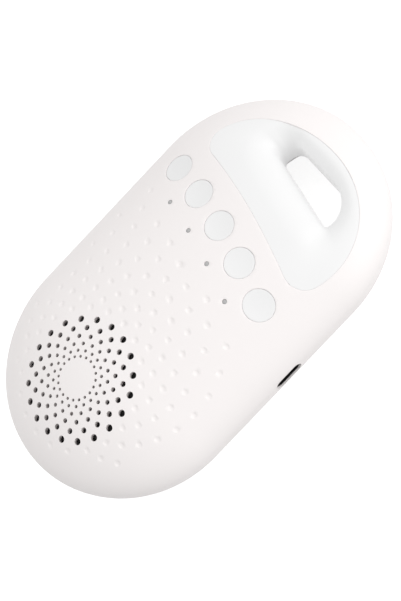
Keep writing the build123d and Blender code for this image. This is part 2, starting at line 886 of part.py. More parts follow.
housing_screw_head = part_z + lip_height - counterbore_floor - head_height
housing_screw_length = counterbore_floor + screw_bite
housing_screw = screw(screw_radius, head_radius, head_height, housing_screw_length, housing_screw_head)
nodes["housing_screws"] = placed(housing_screw, housing_screw_places)
board_screw = screw(
    small_screw_radius,
    small_head_radius,
    small_head_height,
    board_thickness + small_screw_bite - over / 4,
    board_z - small_head_height,
)
nodes["board_screws"] = placed(board_screw, board_screw_places)
speaker_screw = screw(
    small_screw_radius,
    speaker_screw_boss + gasket_width / 2,
    small_head_height,
    small_screw_bite - over / 4,
    flange_low - small_head_height,
)
nodes["speaker_screws"] = placed(speaker_screw, speaker_screw_spots())
light_screw = Rot(180, 0, 0) * screw(
    small_screw_radius, small_head_radius, small_head_height, board_thickness + small_screw_bite - over / 4, 0
)
light_screw = Pos(0, 0, light_board_z + board_thickness + small_head_height) * light_screw
nodes["light_board_screws"] = placed(light_screw, [on_band(*place) for place in light_post_places])
foot = disc(foot_radius, 0, back_z + foot_sunk)
foot = fillet(foot.edges().group_by(Axis.Z)[0], foot_proud / 2)
nodes["rubber_feet"] = placed(foot, foot_places)

os.makedirs("parts", exist_ok=True)
for name, shape in nodes.items():
    export_step(shape, f"parts/{name}.step")
print(len(nodes), "nodes, height", round(crown_z, 2))
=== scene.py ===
import json
import math

import bmesh
import bpy
from mathutils import Matrix, Vector


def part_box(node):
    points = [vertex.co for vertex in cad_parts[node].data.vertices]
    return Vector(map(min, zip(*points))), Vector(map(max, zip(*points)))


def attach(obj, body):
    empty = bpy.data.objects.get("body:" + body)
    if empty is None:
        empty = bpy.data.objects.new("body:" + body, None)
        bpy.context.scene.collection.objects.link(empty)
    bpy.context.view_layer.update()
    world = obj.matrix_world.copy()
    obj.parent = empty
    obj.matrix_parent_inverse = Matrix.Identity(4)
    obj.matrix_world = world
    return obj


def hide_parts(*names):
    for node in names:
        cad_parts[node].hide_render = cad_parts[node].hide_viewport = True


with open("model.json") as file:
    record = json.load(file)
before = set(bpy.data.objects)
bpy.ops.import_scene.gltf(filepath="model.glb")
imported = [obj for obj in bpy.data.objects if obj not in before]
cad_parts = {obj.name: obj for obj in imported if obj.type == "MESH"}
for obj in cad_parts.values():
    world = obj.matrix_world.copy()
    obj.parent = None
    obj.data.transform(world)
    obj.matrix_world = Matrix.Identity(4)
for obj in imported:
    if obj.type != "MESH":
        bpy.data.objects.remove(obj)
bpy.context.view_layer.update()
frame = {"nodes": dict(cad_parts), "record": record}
scene = bpy.context.scene
mm = 0.001  # lengths below are in millimetres, and meshes are scaled by this
print("frame loaded:", len(frame["nodes"]), "nodes")

# the body's form, shared by every piece that follows it
body = {
    "halfWidth": 40.0,
    "halfStraight": 28.3,
    "backLevel": 0.6,
    "waistLevel": 12.6,
    "dome": 16.0,
    "backRound": 10.5,
    "partLevel": 8.6,
    "wall": 2.0,
    "roundColumns": 96,  # around each end
    "straightColumns": 56,
    "domeRows": 44,
    "roundRows": 18,
    "backRows": 8,
    "smoothBelow": 33.0,  # sharper edges stay crisp, in degrees
}

band = {"x": 0.0, "y": 20.0, "tilt": 15.0, "bow": 165.0}  # tilted frame of the controls


# heights on the dome and places on the tilted band
def fromSpine(x, y):
    return math.hypot(x, max(abs(y) - body["halfStraight"], 0.0))


def domeLevel(x, y):
    share = min(fromSpine(x, y) / body["halfWidth"], 1.0)
    return body["waistLevel"] + body["dome"] * math.sqrt(1.0 - share * share)


def onBody(u, v):
    turn = math.radians(band["tilt"])
    x = band["x"] + u * math.cos(turn) + v * math.sin(turn)
    return x, band["y"] - u * math.sin(turn) + v * math.cos(turn)


def bowAt(u):
    return -u * u / (2.0 * band["bow"])


def ease(t):
    t = min(max(t, 0.0), 1.0)
    return t * t * (3.0 - 2.0 * t)


# meshes from rows of points
sameSpot, noLength = 1e-7, 1e-8  # metres; nearer points merge, shorter edges go
nearAxis = 1e-4  # least radius of a row in a turned piece


def solid(name, points, faces, smoothBelow=35.0):
    mesh = bpy.data.meshes.new(name)
    mesh.from_pydata([(x * mm, y * mm, z * mm) for x, y, z in points], [], faces)
    work = bmesh.new()
    work.from_mesh(mesh)
    bmesh.ops.remove_doubles(work, verts=work.verts, dist=sameSpot)
    bmesh.ops.dissolve_degenerate(work, edges=work.edges, dist=noLength)
    work.to_mesh(mesh)
    work.free()
    piece = bpy.data.objects.new(name, mesh)
    scene.collection.objects.link(piece)
    soften(piece, smoothBelow)
    return piece


def soften(piece, smoothBelow=35.0):
    piece.data.shade_smooth()
    piece.data.set_sharp_from_angle(angle=math.radians(smoothBelow))


def bands(rows, capped=False):
    # rows of equally many points, each a closed loop, joined in order
    count = len(rows[0])
    points = [point for row in rows for point in row]
    faces = []
    for r in range(len(rows) - 1):
        for i in range(count):
            j = (i + 1) % count
            a, b = r * count, (r + 1) * count
            faces.append((a + i, a + j, b + j, b + i))
    if capped:
        last = (len(rows) - 1) * count
        faces += [tuple(reversed(range(count))), tuple(range(last, last + count))]
    return points, faces


def cappedSolid(name, rows, smoothBelow=35.0):
    points, faces = bands(rows, capped=True)
    return solid(name, points, faces, smoothBelow)


def circle(radius, x, y, level, count=64):
    # level is a height, or a rule that gives one for a place
    loop = []
    for i in range(count):
        turn = 2.0 * math.pi * i / count
        px, py = x + radius * math.cos(turn), y + radius * math.sin(turn)
        loop.append((px, py, level(px, py) if callable(level) else level))
    return loop


def turnedPiece(name, profile, x=0.0, y=0.0, count=64):
    rows = [circle(max(radius, nearAxis), x, y, level, count) for radius, level in profile]
    return cappedSolid(name, rows)


def stadium():
    # columns round the body: outward direction, and place along the spine
    end, runs, turns = body["halfStraight"], body["straightColumns"], body["roundColumns"]
    spines = [-end + 2.0 * end * i / runs for i in range(runs)]
    angles = [math.pi * i / turns for i in range(turns)]
    columns = [(1.0, 0.0, spine) for spine in spines]
    columns += [(math.cos(angle), math.sin(angle), end) for angle in angles]
    columns += [(-1.0, 0.0, -spine) for spine in spines]
    return columns + [(-math.cos(angle), -math.sin(angle), -end) for angle in angles]


def sideProfile(inset):
    # distance from the spine and height, from the middle of the back up to the crown
    radius = body["halfWidth"] - inset
    low = body["backLevel"] + inset
    edge = max(body["backRound"] - inset, body["wall"])
    rows = [((radius - edge) * i / body["backRows"], low) for i in range(body["backRows"])]
    for i in range(body["roundRows"] + 1):
        turn = 0.5 * math.pi * i / body["roundRows"]
        rows.append((radius - edge + edge * math.sin(turn), low + edge - edge * math.cos(turn)))
    for i in range(body["domeRows"] + 1):
        turn = 0.5 * math.pi * i / body["domeRows"]
        level = body["waistLevel"] + (body["dome"] - inset) * math.sin(turn)
        rows.append((radius * math.cos(turn), level))
    return rows


def splitProfile(rows, level):
    for i in range(len(rows) - 1):
        if rows[i][1] < level <= rows[i + 1][1]:
            share = (level - rows[i][1]) / (rows[i + 1][1] - rows[i][1])
            cut = (rows[i][0] + share * (rows[i + 1][0] - rows[i][0]), level)
            return rows[: i + 1] + [cut], [cut] + rows[i + 1 :]


def shellPiece(name, profile):
    columns = stadium()
    rows = [[(dx * d, spine + dy * d, z) for dx, dy, spine in columns] for d, z in profile]
    points, faces = bands(rows)
    return solid(name, points, faces)


def combine(piece, other, operation="DIFFERENCE"):
    change = piece.modifiers.new("combine", "BOOLEAN")
    change.operation = operation
    change.solver = "MANIFOLD"
    change.object = other
    settle(piece)
    bpy.data.objects.remove(other)


def settle(piece):
    # keeps the evaluated shape as the piece's own plain mesh
    evaluated = piece.evaluated_get(bpy.context.evaluated_depsgraph_get())
    result = bpy.data.meshes.new_from_object(evaluated)
    piece.modifiers.clear()
    old = piece.data
    piece.data = result
    bpy.data.meshes.remove(old)


def joined(name, pieces):
    work = bmesh.new()
    for piece in pieces:
        work.from_mesh(piece.data)
        bpy.data.objects.remove(piece)
    mesh = bpy.data.meshes.new(name)
    work.to_mesh(mesh)
    work.free()
    result = bpy.data.objects.new(name, mesh)
    scene.collection.objects.link(result)
    return result


def grown(outline, reach):
    # the same outline moved outwards, along its own normals
    loop = []
    for i in range(len(outline)):
        before, after = Vector(outline[i - 1]), Vector(outline[(i + 1) % len(outline)])
        along = (after - before).normalized()
        loop.append((outline[i][0] + along.y * reach, outline[i][1] - along.x * reach))
    return loop


def roundedLoop(corners, rounds, arcSteps=30, sideSteps=24):
    # rounded polygon from the middle of its first side: places with the outward direction there
    count = len(corners)
    arcs = []
    for i in range(count):
        corner = Vector(corners[i])
        before = (Vector(corners[i - 1]) - corner).normalized()
        after = (Vector(corners[(i + 1) % count]) - corner).normalized()
        half = 0.5 * before.angle(after)
        centre = corner + (before + after).normalized() * rounds[i] / math.sin(half)
        first = centre - corner - before * rounds[i] / math.tan(half)
        start = math.atan2(-first.y, -first.x)
        turn = math.pi - 2.0 * half
        arc = []
        for k in range(arcSteps + 1):
            angle = start + turn * k / arcSteps
            way = Vector((math.cos(angle), math.sin(angle)))
            arc.append((centre + way * rounds[i], way))
        arcs.append(arc)
    loop = []
    for i in range(1, count + 1):
        (fromPlace, way), (toPlace, _) = arcs[i - 1][-1], arcs[i % count][0]
        for k in range(1, sideSteps):
            loop.append((fromPlace.lerp(toPlace, k / sideSteps), way))
        loop += arcs[i % count]
    middle = sideSteps // 2
    return loop[middle - 1 :] + loop[: middle - 1]


# sockets and node trees
class Wire:
    # an output socket; plain maths on it adds Math nodes
    def __init__(self, graph, socket):
        self.graph = graph
        self.socket = socket

    def maths(self, operation, first, second=None):
        values = {0: first} if second is None else {0: first, 1: second}
        return self.graph.add("ShaderNodeMath", {"operation": operation}, values)

    def __add__(self, other):
        return self.maths("ADD", self, other)

    def __radd__(self, other):
        return self.maths("ADD", other, self)

    def __sub__(self, other):
        return self.maths("SUBTRACT", self, other)

    def __rsub__(self, other):
        return self.maths("SUBTRACT", other, self)

    def __mul__(self, other):
        return self.maths("MULTIPLY", self, other)

    def __rmul__(self, other):
        return self.maths("MULTIPLY", other, self)

    def __truediv__(self, other):
        return self.maths("DIVIDE", self, other)

    def __rtruediv__(self, other):
        return self.maths("DIVIDE", other, self)

    def __pow__(self, other):
        return self.maths("POWER", self, other)

    def __mod__(self, other):
        return self.maths("MODULO", self, other)

    def __lt__(self, other):
        return self.maths("LESS_THAN", self, other)

    def __gt__(self, other):
        return self.maths("GREATER_THAN", self, other)

    def __abs__(self):
        return self.maths("ABSOLUTE", self)

    def floor(self):
        return self.maths("FLOOR", self)

    def root(self):
        return self.maths("SQRT", self)

    def sine(self):
        return self.maths("SINE", self)

    def cosine(self):
        return self.maths("COSINE", self)

    def sign(self):
        return self.maths("SIGN", self)

    def atLeast(self, other):
        return self.maths("MAXIMUM", self, other)


class Graph:
    def __init__(self, tree):
        self.tree = tree

    def add(self, kind, settings=None, values=None, output=0):
        node = self.tree.nodes.new(kind)
        for key, value in (settings or {}).items():
            setattr(node, key, value)
        for key, value in (values or {}).items():
            for part in value if isinstance(value, list) else [value]:
                if isinstance(part, Wire):
                    self.tree.links.new(part.socket, node.inputs[key])
                else:
                    node.inputs[key].default_value = part
        return Wire(self, node.outputs[output])

    def also(self, wire, name):
        return Wire(self, wire.socket.node.outputs[name])

    def close(self, kind, socket, wire):
        leave = self.tree.nodes.new(kind)
        self.tree.links.new(wire.socket, leave.inputs[socket])


def vector(graph, x, y, z):
    return graph.add("ShaderNodeCombineXYZ", {}, {"X": x, "Y": y, "Z": z})


def growTree(name, inputs):
    tree = bpy.data.node_groups.new(name, "GeometryNodeTree")
    tree.interface.new_socket("Geometry", in_out="OUTPUT", socket_type="NodeSocketGeometry")
    for label, kind in inputs:
        tree.interface.new_socket(label, in_out="INPUT", socket_type="NodeSocket" + kind)
    graph = Graph(tree)
    entry = tree.nodes.new("NodeGroupInput")
    return graph, {label: Wire(graph, entry.outputs[label]) for label, kind in inputs}


def closeTree(graph, shape, finish):
    real = graph.add("GeometryNodeRealizeInstances", {}, {"Geometry": shape})
    coated = graph.add("GeometryNodeSetMaterial", {}, {"Geometry": real, "Material": finish})
    graph.close("NodeGroupOutput", "Geometry", coated)
    return graph.tree


def runTree(piece, tree, values):
    change = piece.modifiers.new("pattern", "NODES")
    change.node_group = tree
    for item in tree.interface.items_tree:
        if item.in_out == "INPUT" and item.name in values:
            change[item.identifier] = values[item.name]
    settle(piece)


# finishes, all read from Object coordinates
white = (1.0, 1.0, 1.0, 1.0)


def shaderGraph(owner):
    # an emptied tree of a material or a world
    owner.use_nodes = True
    owner.node_tree.nodes.clear()
    return Graph(owner.node_tree)


def newFinish(name):
    finish = bpy.data.materials.new(name)
    graph = shaderGraph(finish)
    place = graph.add("ShaderNodeTexCoord", {}, {}, "Object")
    return finish, graph, place


def closeFinish(finish, graph, colour, rough, normal, constants=None):
    values = {**(constants or {}), "Base Color": colour, "Roughness": rough, "Normal": normal}
    graph.close("ShaderNodeOutputMaterial", "Surface", graph.add("ShaderNodeBsdfPrincipled", {}, values))
    return finish


def noise(graph, place, scale, detail=2.0, roughness=0.5):
    settings = {"noise_dimensions": "3D"}
    values = {"Vector": place, "Scale": scale, "Detail": detail, "Roughness": roughness}
    return graph.add("ShaderNodeTexNoise", settings, values, "Fac")


def cellular(graph, place, scale, distance="EUCLIDEAN"):
    settings = {"feature": "F1", "distance": distance}
    return graph.add("ShaderNodeTexVoronoi", settings, {"Vector": place, "Scale": scale}, "Distance")


def opaque(colour, factor=1.0):
    return tuple(min(channel * factor, 1.0) for channel in colour) + (1.0,)


def blendColours(graph, share, first, second):
    settings = {"data_type": "RGBA", "blend_type": "MIX"}
    return graph.add("ShaderNodeMix", settings, {0: share, 6: first, 7: second}, 2)


def shaded(graph, share, colour, darkest, lightest):
    return blendColours(graph, share, opaque(colour, darkest), opaque(colour, lightest))


def bump(graph, height, look):
    values = {"Height": height, "Strength": look["bump"], "Distance": look["bumpDepth"] * mm}
    return graph.add("ShaderNodeBump", {}, values)


def mouldedPlastic(name, look):
    finish, graph, place = newFinish(name)
    cloud = noise(graph, place, look["cloudScale"], look["cloudDetail"])
    grain = noise(graph, place, look["grainScale"], look["grainDetail"], look["grainRoughness"])
    colour = shaded(graph, cloud, look["colour"], 1.0 - look["spread"], 1.0 + look["spread"])
    rough = look["roughness"] + (grain - 0.5) * look["roughSpread"] + (cloud - 0.5) * look["roughSpread"]
    constants = {
        "IOR": look["ior"],
        "Coat Weight": look["coat"],
        "Coat Roughness": look["coatRoughness"],
        # a look's glow is painted light: an even emission from a part that is no lamp
        "Emission Color": white,
        "Emission Strength": look["glow"],
    }
    return closeFinish(finish, graph, colour, rough, bump(graph, grain, look), constants)


def metalFinish(name, look):
    finish, graph, place = newFinish(name)
    stretched = graph.add("ShaderNodeMapping", {}, {"Vector": place, "Scale": look["stretch"]})
    streaks = noise(graph, stretched, look["scale"], look["detail"], look["streakRoughness"])
    stain = noise(graph, place, look["stainScale"], look["detail"])
    colour = shaded(graph, stain, look["colour"], *look["shades"])
    rough = look["roughness"] + (streaks - 0.5) * look["roughSpread"]
    return closeFinish(finish, graph, colour, rough, bump(graph, streaks, look), {"Metallic": 1.0})


def speckled(name, look):
    finish, graph, place = newFinish(name)
    cells = cellular(graph, place, look["scale"])
    soft = noise(graph, place, look["scale"] * look["softScale"], look["detail"])
    colour = shaded(graph, cells, look["colour"], *look["shades"])
    rough = look["roughness"] + (soft - 0.5) * look["roughSpread"]
    height = cells * look["cellShare"] + soft * look["softShare"]
    return closeFinish(finish, graph, colour, rough, bump(graph, height, look))


def wovenCloth(name, look):
    finish, graph, place = newFinish(name)
    axes = graph.add("ShaderNodeSeparateXYZ", {}, {0: place}, "X")
    pitch = 2.0 * math.pi / (look["pitch"] * mm)
    warp = (axes * pitch).sine()
    weft = (graph.also(axes, "Y") * pitch).sine()
    over = warp * weft * 0.5 + 0.5
    fibre = noise(graph, place, look["fibreScale"])
    height = over * look["weaveShare"] + fibre * look["fibreShare"]
    colour = shaded(graph, height, look["colour"], *look["shades"])
    rough = look["roughness"] + fibre * look["roughSpread"]
    return closeFinish(finish, graph, colour, rough, bump(graph, height, look))


def boardFinish(name, look):
    finish, graph, place = newFinish(name)
    tracks = cellular(graph, place, look["scale"], "MANHATTAN") % look["trackStep"] < look["trackWidth"]
    cloud = noise(graph, place, look["cloudScale"])
    colour = blendColours(graph, tracks, opaque(look["colour"]), opaque(look["trackColour"]))
    rough = look["roughness"] + cloud * look["roughSpread"]
    return closeFinish(finish, graph, colour, rough, bump(graph, tracks, look))


plasticCommon = {
    "cloudDetail": 3.0,
    "grainDetail": 2.0,
    "grainRoughness": 0.6,
    "ior": 1.46,
    "coat": 0.0,
    "coatRoughness": 0.25,
    "glow": 0.0,
    "roughSpread": 0.1,
    "bump": 0.1,
    "bumpDepth": 0.02,
}

plasticLooks = {
    "warm_white": {
        "colour": (0.88, 0.845, 0.838),
        "spread": 0.008,
        "cloudScale": 26.0,
        "grainScale": 2600.0,
        "roughness": 0.52,
    },
    "opal_white": {
        # darker than the opal plastic itself, to leave room for the painted glow
        "colour": (0.56, 0.56, 0.56),
        "glow": 0.29,  # painted light: an even glow that lifts the lens and the shade in its funnel, standing in for light the thin opal plastic passes on
        "spread": 0.006,
        "cloudScale": 30.0,
        "grainScale": 2200.0,
        "roughness": 0.44,
        "roughSpread": 0.08,
        "bump": 0.06,
    },
    "cool_white": {
        "colour": (0.825, 0.825, 0.825),
        "spread": 0.010,
        "cloudScale": 60.0,
        "grainScale": 2600.0,
        "roughness": 0.50,
    },
    "smoke_lens": {
        "colour": (0.42, 0.42, 0.42),
        "spread": 0.05,
        "cloudScale": 200.0,
        "grainScale": 900.0,
        "roughness": 0.16,
        "roughSpread": 0.05,
        "bump": 0.03,
        "bumpDepth": 0.01,
        "coat": 0.4,
    },
    "led_body": {
        "colour": (0.82, 0.74, 0.38),
        "spread": 0.05,
        "cloudScale": 300.0,
        "grainScale": 1500.0,
        "roughness": 0.25,
        "roughSpread": 0.08,
        "bump": 0.05,
    },
    "connector_ivory": {
        "colour": (0.74, 0.68, 0.52),
        "spread": 0.03,
        "cloudScale": 120.0,
        "grainScale": 1800.0,
        "roughness": 0.5,
    },
    "chip_black": {
        "colour": (0.022, 0.022, 0.024),
        "spread": 0.12,
        "cloudScale": 300.0,
        "grainScale": 3000.0,
        "roughness": 0.55,
        "roughSpread": 0.12,
        "bump": 0.2,
    },
    "cell_foil": {
        "colour": (0.62, 0.63, 0.65),
        "spread": 0.05,
        "cloudScale": 70.0,
        "grainScale": 260.0,
        "roughness": 0.38,
        "roughSpread": 0.16,
        "bump": 0.25,
        "bumpDepth": 0.1,
    },
    "lead_red": {
        "colour": (0.42, 0.03, 0.025),
        "spread": 0.06,
        "cloudScale": 150.0,
        "grainScale": 1500.0,
        "roughness": 0.42,
        "bump": 0.08,
        "bumpDepth": 0.03,
    },
    "surround_rubber": {
        "colour": (0.02, 0.02, 0.02),
        "spread": 0.1,
        "cloudScale": 150.0,
        "grainScale": 1800.0,
        "roughness": 0.6,
        "roughSpread": 0.12,
        "bump": 0.12,
        "bumpDepth": 0.03,
    },
    "cone_paper": {
        "colour": (0.035, 0.034, 0.033),
        "spread": 0.2,
        "cloudScale": 220.0,
        "grainScale": 1300.0,
        "roughness": 0.8,
        "bump": 0.4,
        "bumpDepth": 0.05,
    },
}

metalCommon = {
    "stretch": (1.0, 12.0, 1.0),
    "scale": 380.0,
    "streakRoughness": 0.6,
    "stainScale": 90.0,
    "detail": 3.0,
    "shades": (0.93, 1.05),
    "roughSpread": 0.16,
    "bump": 0.12,
    "bumpDepth": 0.02,
}

metalLooks = {
    "switch_steel": {"colour": (0.62, 0.62, 0.62), "roughness": 0.34},
    # painted shade: the port shell is near black, far darker than its steel, so the port's mouth reads
    # as deep shade
    "port_steel": {"colour": (0.05, 0.05, 0.052), "roughness": 0.34},
    "plate_zinc": {"colour": (0.58, 0.59, 0.60), "roughness": 0.36},
    "screw_steel": {"colour": (0.55, 0.55, 0.56), "roughness": 0.32},
    "coil_copper": {"colour": (0.66, 0.30, 0.15), "roughness": 0.34},
}

speckledCommon = {
    "softScale": 0.3,
    "detail": 3.0,
    "shades": (0.75, 1.2),
    "roughSpread": 0.12,
    "cellShare": 0.7,
    "softShare": 0.3,
    "bumpDepth": 0.04,
}

speckledLooks = {
    "foam_grey": {
        "colour": (0.20, 0.20, 0.21),
        "scale": 1500.0,
        "roughness": 0.9,
        "bump": 0.7,
        "bumpDepth": 0.1,
    },
    "foam_black": {
        "colour": (0.025, 0.025, 0.025),
        "scale": 1800.0,
        "roughness": 0.9,
        "bump": 0.7,
        "bumpDepth": 0.1,
    },
    "basket_black": {"colour": (0.03, 0.03, 0.03), "scale": 1600.0, "roughness": 0.45, "bump": 0.25},
    "magnet_ferrite": {"colour": (0.06, 0.06, 0.065), "scale": 900.0, "roughness": 0.5, "bump": 0.2},
    "foot_rubber": {"colour": (0.36, 0.355, 0.35), "scale": 1300.0, "roughness": 0.75, "bump": 0.3},
}

clothCommon = {
    "fibreScale": 5200.0,
    "weaveShare": 0.8,
    "fibreShare": 0.2,
    "shades": (0.55, 1.5),
    "roughness": 0.86,
    "roughSpread": 0.1,
    "bump": 0.7,
    "bumpDepth": 0.08,
}

clothLooks = {
    "cloth_black": {"colour": (0.012, 0.012, 0.012), "pitch": 0.5},
    "spider_cloth": {"colour": (0.48, 0.33, 0.12), "pitch": 0.6},
}

boardCommon = {
    "scale": 420.0,
    "trackStep": 0.35,
    "trackWidth": 0.06,
    "cloudScale": 240.0,
    "roughness": 0.32,
    "roughSpread": 0.2,
    "bump": 0.4,
    "bumpDepth": 0.03,
}

boardLooks = {
    "board_green": {"colour": (0.02, 0.17, 0.07), "trackColour": (0.04, 0.27, 0.12)},
    "board_white": {"colour": (0.74, 0.75, 0.73), "trackColour": (0.62, 0.64, 0.62)},
}

makers = [
    (mouldedPlastic, plasticCommon, plasticLooks),
    (metalFinish, metalCommon, metalLooks),
    (speckled, speckledCommon, speckledLooks),
    (wovenCloth, clothCommon, clothLooks),
    (boardFinish, boardCommon, boardLooks),
]

finishes = {}
for maker, common, looks in makers:
    for name, look in looks.items():
        finishes[name] = maker(name, {**common, **look})
print("finishes made:", len(finishes))

slotOf = {entry["node"]: entry["material_slot"] for entry in frame["record"]["subparts"]}


def dress(piece, finishName, group, *nodes):
    piece.data.materials.clear()
    piece.data.materials.append(finishes[finishName])
    if nodes:
        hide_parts(*nodes)
    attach(piece, group)


for name, node in frame["nodes"].items():
    node.data.materials.clear()
    node.data.materials.append(finishes[slotOf[name]])

# camera
camera = {
    "place": (135.23, 11.71, 270.7),
    "right": (0.63509, 0.68722, -0.35267),
    "up": (-0.6257, 0.72542, 0.28681),
    "back": (0.45294, 0.03852, 0.89071),
    "lens": 39.11,
    "sensorHeight": 24.0,
    "clipStart": 0.01,
}
lensData = bpy.data.cameras.new("camera")
lensData.sensor_fit = "VERTICAL"
lensData.sensor_height = camera["sensorHeight"]
lensData.lens = camera["lens"]
lensData.clip_start = camera["clipStart"]
viewer = bpy.data.objects.new("camera", lensData)
scene.collection.objects.link(viewer)
turnTo = Matrix((camera["right"], camera["up"], camera["back"])).transposed()
viewer.matrix_world = Matrix.Translation(Vector(camera["place"]) * mm) @ turnTo.to_4x4()
scene.camera = viewer

# front housing
frontHousing = {
    "seam": 0.16,  # bevel where the two shells meet
    "rimBevel": 0.1,
    "smallBevel": 0.08,  # round the indicators
    "toolLow": 14.0,  # its cutters start inside the body
}

controls = {
    "names": ["power", "volume_down", "sound", "volume_up", "light"],
    "pitch": 12.9,
    "radius": 4.5,
    "clearance": 0.06,
    "segments": 72,
}

indicators = {
    "count": 4,
    "pitch": 12.2,
    "shift": 1.8,
    "drop": 8.3,
    "radius": 0.7,
    "clearance": 0.03,
    "segments": 28,
}

soundHoles = {
    "Centre": -39.4,
    "Rings": 6,
    "Per Ring": 20,
    "First Ring": 6.3,
    "Ring Step": 1.78,
    "Ring Growth": 0.24,
    "First Hole": 0.45,
    "Hole Growth": 0.04,
    "Hole Growth Growth": 0.014,
    "Hole Flare": 0.16,  # a hole widens by this share for each millimetre inwards
}

drill = {"below": 4.0, "above": 1.0, "sides": 20}  # reach of a hole's cutter from the surface

dimples = {
    "Dimple Rings": 15,
    "First Dimple Ring": 20.65,
    "Dimple Ring Step": 2.9,
    "Dimple Shift": -0.63,  # their centre is this far from the sound holes' centre
    "Dimple Spread": 0.059,  # rings widen towards the sides of the body
    "Dimple Radius": 0.92,
    "Dimple Depth": 0.24,
    "Dimple Inset": 8.0,  # none nearer to the edge
    "Dimple Limit": -11.5,  # none nearer to the controls, in the band's frame
}

dimpleBall = {"Segments": 18, "Rings": 26}


def perforationTree():
    counts = ["Rings", "Per Ring", "Dimple Rings"]
    inputs = [("Shell", "Geometry"), ("Finish", "Material")]
    for label in [*soundHoles, *dimples]:
        inputs.append((label, "Int" if label in counts else "Float"))
    graph, given = growTree("perforations", inputs)
    number = graph.add("GeometryNodeInputIndex")
    ring = (number / given["Per Ring"]).floor()
    step = number - ring * given["Per Ring"]
    around = (step + (ring % 2.0) * 0.5) * (2.0 * math.pi) / given["Per Ring"]
    least = 0.0001  # keeps the roots above nought

    # sound holes, drilled through
    growth = given["Ring Growth"] * ring * (ring - 1.0) * 0.5
    radius = given["First Ring"] + given["Ring Step"] * ring + growth
    x = radius * around.sine()
    y = given["Centre"] + radius * around.cosine()
    holeEnd = (abs(y) - body["halfStraight"]).atLeast(0.0)
    holeShare = (x * x + holeEnd * holeEnd) / body["halfWidth"] ** 2
    surface = body["waistLevel"] + body["dome"] * (1.0 - holeShare).atLeast(least).root()
    place = vector(graph, x * mm, y * mm, (surface - drill["below"]) * mm)
    count = given["Rings"] * given["Per Ring"]
    dots = graph.add("GeometryNodePoints", {}, {"Count": count, "Position": place})
    wide = (1.0 + given["Hole Flare"] * drill["below"]) * mm
    narrow = (1.0 - given["Hole Flare"] * drill["above"]) * mm
    deep = (drill["below"] + drill["above"]) * mm
    sizes = {"Vertices": drill["sides"], "Radius Bottom": wide, "Radius Top": narrow, "Depth": deep}
    cutter = graph.add("GeometryNodeMeshCone", {}, sizes)
    size = given["First Hole"] + given["Hole Growth"] * ring + given["Hole Growth Growth"] * ring * ring
    values = {"Points": dots, "Instance": cutter, "Scale": vector(graph, size, size, 1.0)}
    drills = graph.add("GeometryNodeInstanceOnPoints", {}, values)

    # dimples, cut by balls that dip into the dome
    dimpleRadius = given["First Dimple Ring"] + given["Dimple Ring Step"] * ring
    sideways = dimpleRadius * around.sine() / body["halfWidth"]
    widened = dimpleRadius * (1.0 + given["Dimple Spread"] * sideways * sideways)
    px = given["Dimple Shift"] + widened * around.sine()
    py = given["Centre"] + widened * around.cosine()
    end = (abs(py) - body["halfStraight"]).atLeast(0.0)
    away = (px * px + end * end).root()
    rise = (1.0 - (away / body["halfWidth"]) ** 2.0).atLeast(least).root()
    level = body["waistLevel"] + body["dome"] * rise
    nx = px / body["halfWidth"] ** 2
    ny = end * py.sign() / body["halfWidth"] ** 2
    nz = rise / body["dome"]
    steepness = (nx * nx + ny * ny + nz * nz).root()
    depth = given["Dimple Depth"]
    ball = (given["Dimple Radius"] ** 2.0 + depth**2.0) / (2.0 * depth)
    lift = (ball - depth) / steepness
    centre = vector(graph, (px + nx * lift) * mm, (py + ny * lift) * mm, (level + nz * lift) * mm)
    count = given["Dimple Rings"] * given["Per Ring"]
    spots = graph.add("GeometryNodePoints", {}, {"Count": count, "Position": centre})
    turn = math.radians(band["tilt"])
    upBand = (px - band["x"]) * math.sin(turn) + (py - band["y"]) * math.cos(turn)
    outside = (away > body["halfWidth"] - given["Dimple Inset"]).atLeast(upBand > given["Dimple Limit"])
    values = {"Geometry": spots, "Selection": outside}
    kept = graph.add("GeometryNodeDeleteGeometry", {"domain": "POINT"}, values)
    pearl = graph.add("GeometryNodeMeshUVSphere", {}, {**dimpleBall, "Radius": ball * mm})
    pearls = graph.add("GeometryNodeInstanceOnPoints", {}, {"Points": kept, "Instance": pearl})

    tools = graph.add("GeometryNodeJoinGeometry", {}, {"Geometry": [drills, pearls]})
    realTools = graph.add("GeometryNodeRealizeInstances", {}, {"Geometry": tools})
    settings = {"operation": "DIFFERENCE", "solver": "MANIFOLD"}
    cut = graph.add("GeometryNodeMeshBoolean", settings, {"Mesh 1": given["Shell"], "Mesh 2": realTools})
    return closeTree(graph, cut, given["Finish"])


opening = {
    "rim": [(-1.0, 0.0), (-0.3, 0.3), (0.1, 1.1)],  # rise over the dome and growth, in bevels
    "topAbove": 4.0,
    "topGrow": 1.0,
}


def openingTool(loopAt, bevel):
    # cutter that follows the dome and bevels the rim it leaves; loopAt(grow) gives its outline
    rows = [[(x, y, frontHousing["toolLow"]) for x, y in loopAt(0.0)]]
    for rise, grow in opening["rim"]:
        rows.append([(x, y, domeLevel(x, y) + rise * bevel) for x, y in loopAt(grow * bevel)])
    top = body["waistLevel"] + body["dome"] + opening["topAbove"]
    widest = opening["rim"][-1][1] * bevel + opening["topGrow"]
    rows.append([(x, y, top) for x, y in loopAt(widest)])
    return cappedSolid("tool", rows)


def roundLoop(place, radius, count):
    return lambda grow: [(x, y) for x, y, z in circle(radius + grow, place[0], place[1], 0.0, count)]


controlPlaces = []
for i in range(len(controls["names"])):
    u = (i - 0.5 * (len(controls["names"]) - 1)) * controls["pitch"]
    controlPlaces.append(onBody(u, bowAt(u)))
indicatorPlaces = []
for i in range(indicators["count"]):
    u = (i - 0.5 * (indicators["count"] - 1)) * indicators["pitch"] + indicators["shift"]
    indicatorPlaces.append(onBody(u, bowAt(u) - indicators["drop"]))

